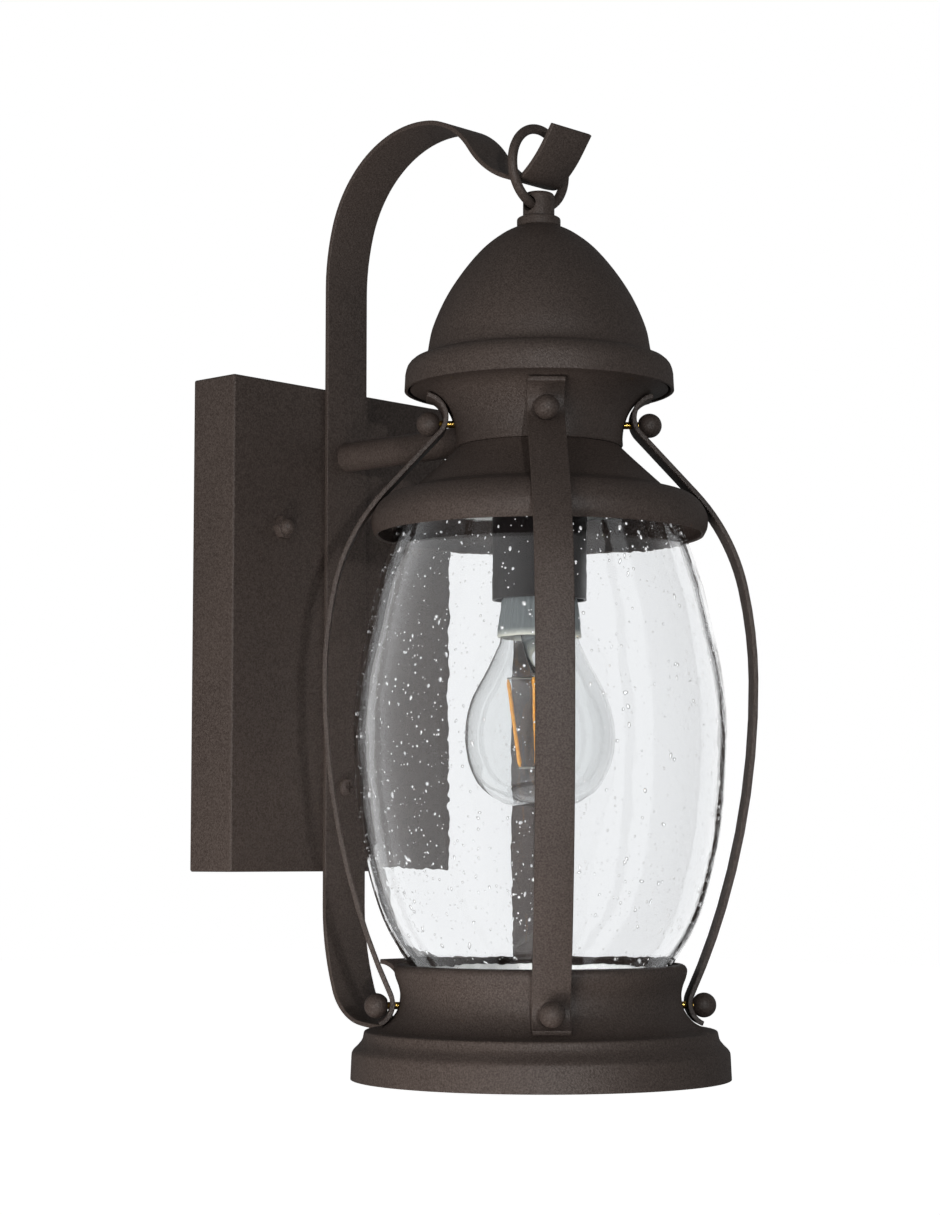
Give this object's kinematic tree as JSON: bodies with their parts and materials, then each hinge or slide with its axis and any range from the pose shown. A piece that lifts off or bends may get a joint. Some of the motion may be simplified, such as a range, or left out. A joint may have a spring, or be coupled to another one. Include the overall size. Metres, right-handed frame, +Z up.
{
  "type": "outdoor wall lantern",
  "caption": "Wall lantern: glass barrel in bowed straps under a domed cap, on an arm and a scrolled flat bar from a box backplate.",
  "frame": {"origin": "on the wall plane, midway between the wall box's two screws", "axes": "+Y into the wall, +Z up, +X to the right as seen from the room"},
  "size_m": [0.1524, 0.2147, 0.3995],
  "materials": {
    "bronze": "fine sand texture powder coat, dark bronze",
    "zinc_steel": "zinc plated",
    "nickel": "nickel plated, satin",
    "green_screw": "green dyed zinc",
    "brass": "plain machined brass",
    "dark_cover": "dark bronze, satin",
    "phenolic": "moulded, matt",
    "black_glass": "black vitrite",
    "grey_collar": "translucent grey, ribbed",
    "bulb_glass": "clear",
    "amber_filament": "amber phosphor coating",
    "seeded_glass": "clear with seed bubbles",
    "gasket": "milky clear silicone"
  },
  "bodies": {
    "fixture": {"backplate": "bronze", "mounting_crossbar": "zinc_steel", "mounting_studs": "zinc_steel", "cap_nuts": "bronze", "ground_screw": "green_screw", "bracket_bar": "bronze", "bar_screw": "bronze", "bar_screw_nut": "zinc_steel", "arm_tube": "bronze", "arm_pipe": "zinc_steel", "arm_nuts": "zinc_steel", "finial_post": "bronze", "finial_collar": "bronze", "dome_cap": "bronze", "neck": "bronze", "roof": "bronze", "centre_pipe": "zinc_steel", "pipe_nuts": "zinc_steel", "socket_cover": "dark_cover", "lampholder_body": "phenolic", "screw_shell": "brass", "holder_contact": "brass", "glass_shade": "seeded_glass", "upper_gasket": "gasket", "lower_gasket": "gasket", "base": "bronze", "base_seat": "bronze", "strap_front_left": "bronze", "strap_front_right": "bronze", "strap_back_left": "bronze", "strap_back_right": "bronze", "upper_studs": "brass", "lower_studs": "brass", "upper_stud_nuts": "brass", "lower_stud_nuts": "brass"},
    "ring": {"ring": "bronze"},
    "bulb_tip": {"bulb_contact": "zinc_steel", "bulb_insulator": "black_glass"},
    "bulb": {"bulb_cap": "nickel", "bulb_collar": "grey_collar", "bulb_envelope": "bulb_glass", "bulb_stem": "bulb_glass", "bulb_filaments": "amber_filament", "bulb_supports": "zinc_steel"},
    "upper_ball_front_left": {"upper_ball_front_left": "bronze"},
    "upper_ball_front_right": {"upper_ball_front_right": "bronze"},
    "upper_ball_back_left": {"upper_ball_back_left": "bronze"},
    "upper_ball_back_right": {"upper_ball_back_right": "bronze"},
    "lower_ball_front_left": {"lower_ball_front_left": "bronze"},
    "lower_ball_front_right": {"lower_ball_front_right": "bronze"},
    "lower_ball_back_left": {"lower_ball_back_left": "bronze"},
    "lower_ball_back_right": {"lower_ball_back_right": "bronze"}
  },
  "joints": [
    {"name": "ring_swing", "type": "hinge", "parent": "fixture", "child": "ring", "pos_m": [0, -0.1385, 0.1275], "axis": [1, 0, 0], "range_deg": [-30, 20]},
    {"name": "bulb_travel", "type": "slide", "parent": "fixture", "child": "bulb_tip", "axis": [0, 0, 1], "range_m": [-0.0219, 0]},
    {"name": "bulb_turn", "type": "hinge", "parent": "bulb_tip", "child": "bulb", "pos_m": [0, -0.1385, -0.0282], "axis": [0, 0, 1], "range_deg": [-2160, 0]},
    {"name": "upper_ball_front_left_turn", "type": "hinge", "parent": "fixture", "child": "upper_ball_front_left", "pos_m": [-0.03203, -0.17053, 0.036], "axis": [-0.7071, -0.7071, 0], "continuous": true},
    {"name": "upper_ball_front_right_turn", "type": "hinge", "parent": "fixture", "child": "upper_ball_front_right", "pos_m": [0.03203, -0.17053, 0.036], "axis": [0.7071, -0.7071, 0], "continuous": true},
    {"name": "upper_ball_back_left_turn", "type": "hinge", "parent": "fixture", "child": "upper_ball_back_left", "pos_m": [-0.03203, -0.10647, 0.036], "axis": [-0.7071, 0.7071, 0], "continuous": true},
    {"name": "upper_ball_back_right_turn", "type": "hinge", "parent": "fixture", "child": "upper_ball_back_right", "pos_m": [0.03203, -0.10647, 0.036], "axis": [0.7071, 0.7071, 0], "continuous": true},
    {"name": "lower_ball_front_left_turn", "type": "hinge", "parent": "fixture", "child": "lower_ball_front_left", "pos_m": [-0.04653, -0.18503, -0.1993], "axis": [-0.7071, -0.7071, 0], "continuous": true},
    {"name": "lower_ball_front_right_turn", "type": "hinge", "parent": "fixture", "child": "lower_ball_front_right", "pos_m": [0.04653, -0.18503, -0.1993], "axis": [0.7071, -0.7071, 0], "continuous": true},
    {"name": "lower_ball_back_left_turn", "type": "hinge", "parent": "fixture", "child": "lower_ball_back_left", "pos_m": [-0.04653, -0.09197, -0.1993], "axis": [-0.7071, 0.7071, 0], "continuous": true},
    {"name": "lower_ball_back_right_turn", "type": "hinge", "parent": "fixture", "child": "lower_ball_back_right", "pos_m": [0.04653, -0.09197, -0.1993], "axis": [0.7071, 0.7071, 0], "continuous": true}
  ],
  "couplings": [
    {"joint": "bulb_travel", "follows": "bulb_turn", "m_per_rad": 0.0005777}
  ]
}
